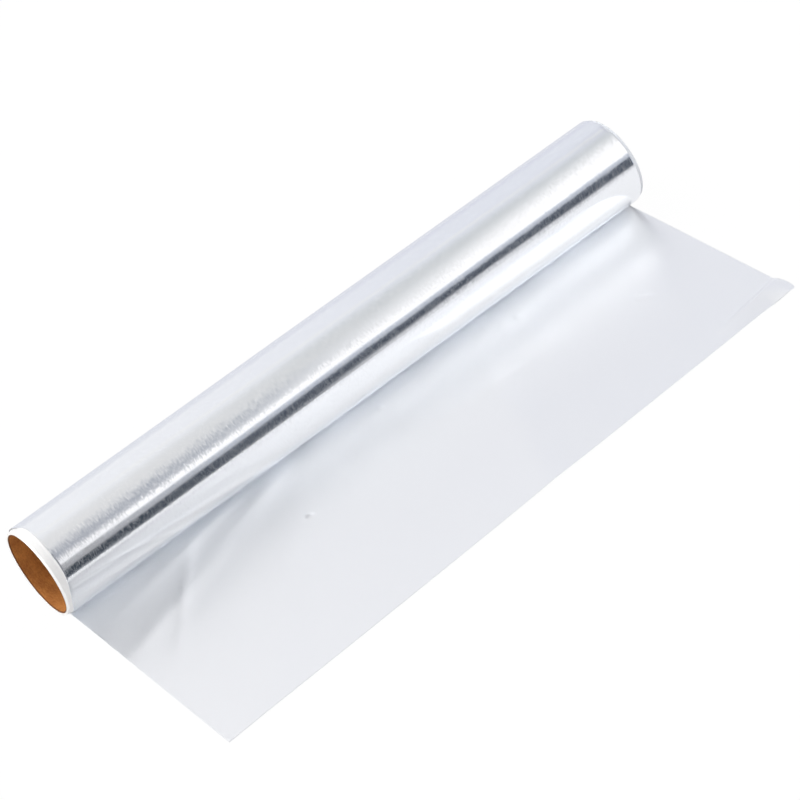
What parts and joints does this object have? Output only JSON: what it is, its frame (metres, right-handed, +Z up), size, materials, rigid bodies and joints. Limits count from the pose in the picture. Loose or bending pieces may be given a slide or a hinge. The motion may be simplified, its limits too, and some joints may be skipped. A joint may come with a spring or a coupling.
{
  "type": "aluminium foil roll",
  "caption": "Kitchen foil wound on a paper tube, lying on its side with a short sheet drawn off the front and a creased corner.",
  "frame": {"origin": "on the surface the roll lies on, straight below the tube's axis, half way along the foil", "axes": "+X along the roll, +Z up, the loose sheet lies towards -Y"},
  "size_m": [0.3051, 0.1373, 0.0405],
  "materials": {
    "tube_paper": "white paper outside, brown kraft bore",
    "foil": "bright rolled outside, satin inside"
  },
  "bodies": {
    "root": {"core_tube": "tube_paper", "foil": "foil"}
  },
  "joints": []
}
